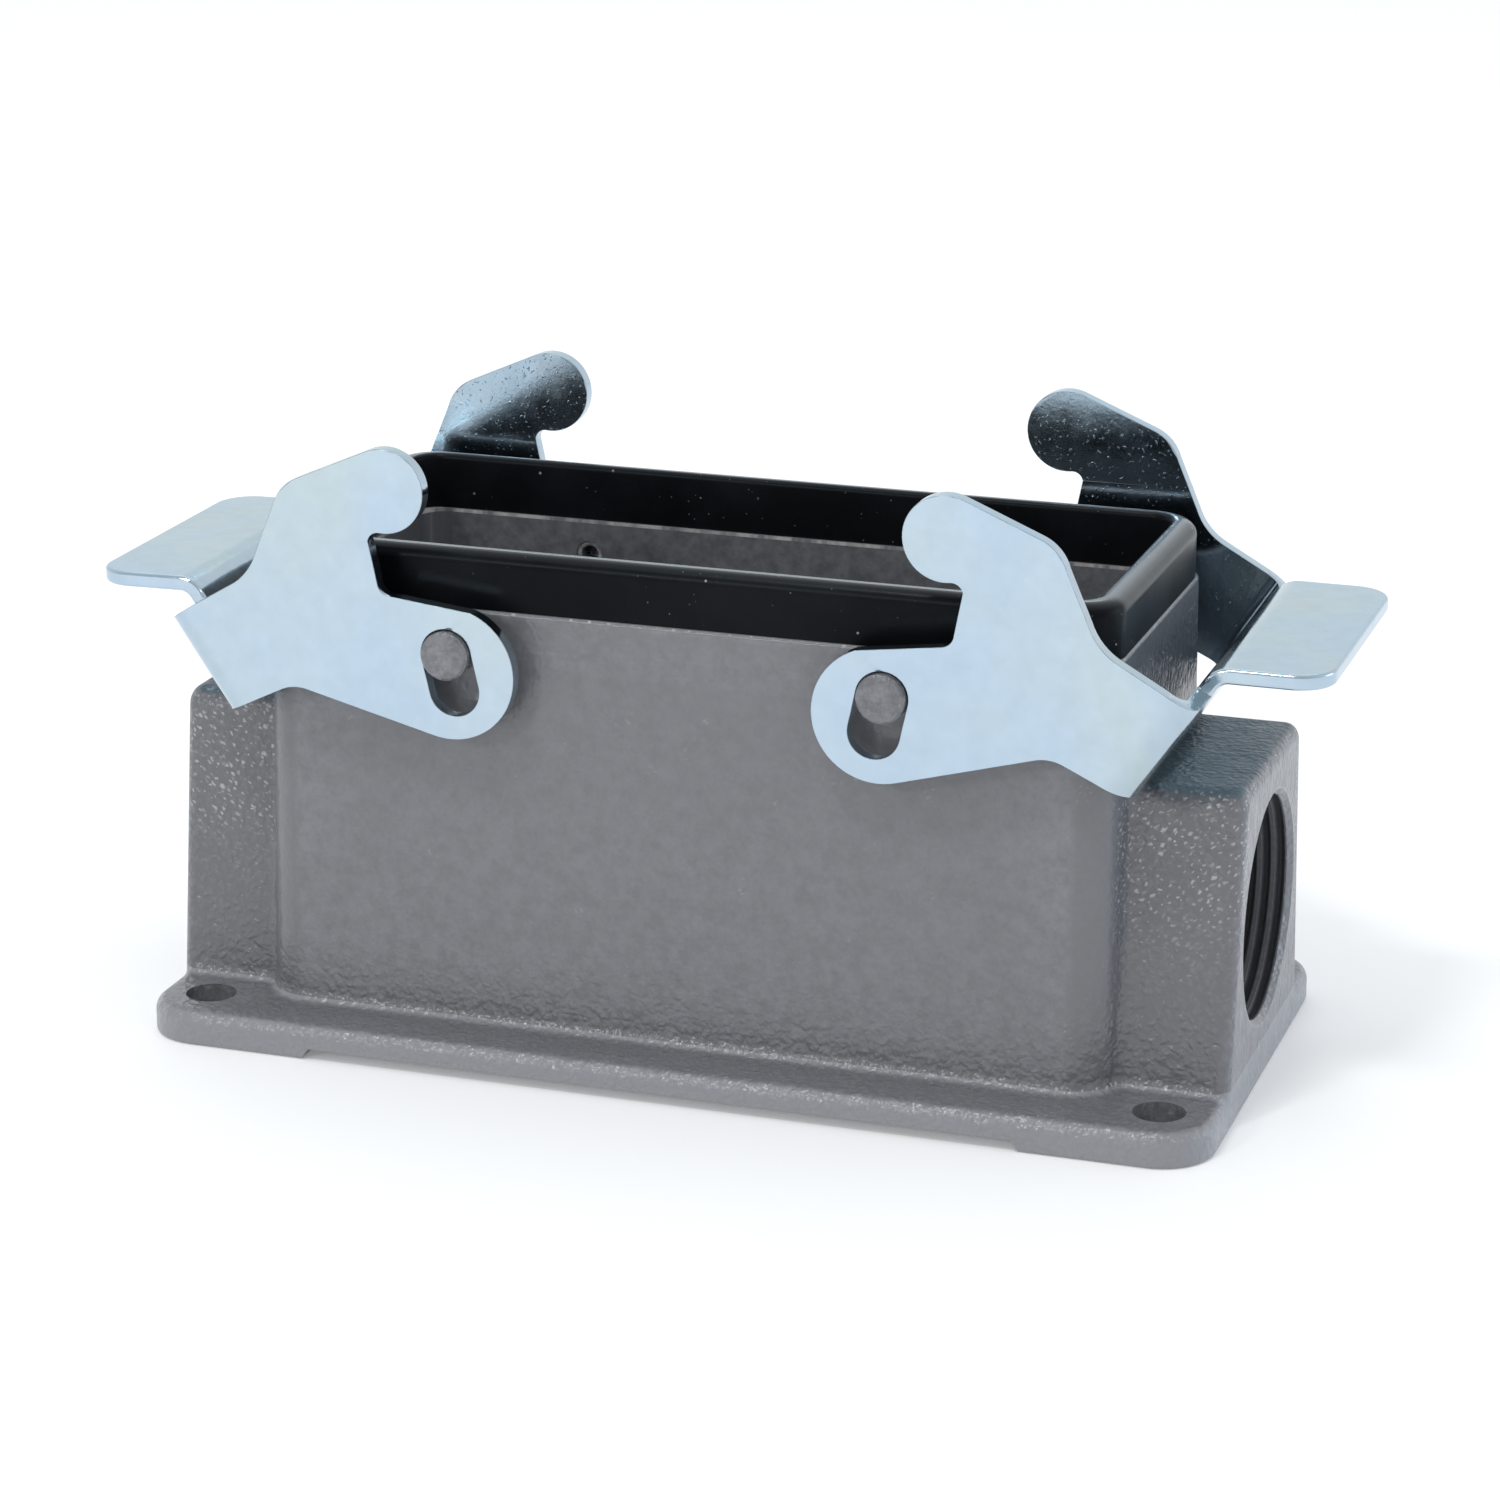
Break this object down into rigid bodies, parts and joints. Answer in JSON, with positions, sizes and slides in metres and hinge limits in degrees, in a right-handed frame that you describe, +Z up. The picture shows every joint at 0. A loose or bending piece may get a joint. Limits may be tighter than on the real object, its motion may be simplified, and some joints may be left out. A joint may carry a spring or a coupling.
{
  "type": "connector base housing",
  "caption": "Surface-mount base housing for a rectangular industrial connector, with a rim seal, a side cable entry and two swing levers that lock the hood.",
  "frame": {"origin": "centre of the underside of the base", "axes": "+X along the base towards the cable entry, +Z up out of the opening, +Y to the rear"},
  "size_m": [0.1341, 0.057, 0.0666],
  "materials": {
    "grey_powder_coat": "textured powder coat on die-cast aluminium",
    "black_rubber": "satin",
    "grey_pin": "coated with the housing",
    "zinc_sheet": "bright zinc plated"
  },
  "bodies": {
    "housing": {"housing": "grey_powder_coat", "rim_seal": "black_rubber", "pin_left_front": "grey_pin", "pin_left_rear": "grey_pin", "pin_right_front": "grey_pin", "pin_right_rear": "grey_pin"},
    "lever_left": {"lever_left": "zinc_sheet"},
    "lever_right": {"lever_right": "zinc_sheet"}
  },
  "joints": [
    {"name": "lever_left_pivot", "type": "hinge", "parent": "housing", "child": "lever_left", "pos_m": [-0.0234, 0, 0.0453], "axis": [0, 1, 0], "range_deg": [-1, 34]},
    {"name": "lever_right_pivot", "type": "hinge", "parent": "housing", "child": "lever_right", "pos_m": [0.0234, 0, 0.0453], "axis": [0, -1, 0], "range_deg": [-2, 33]}
  ]
}
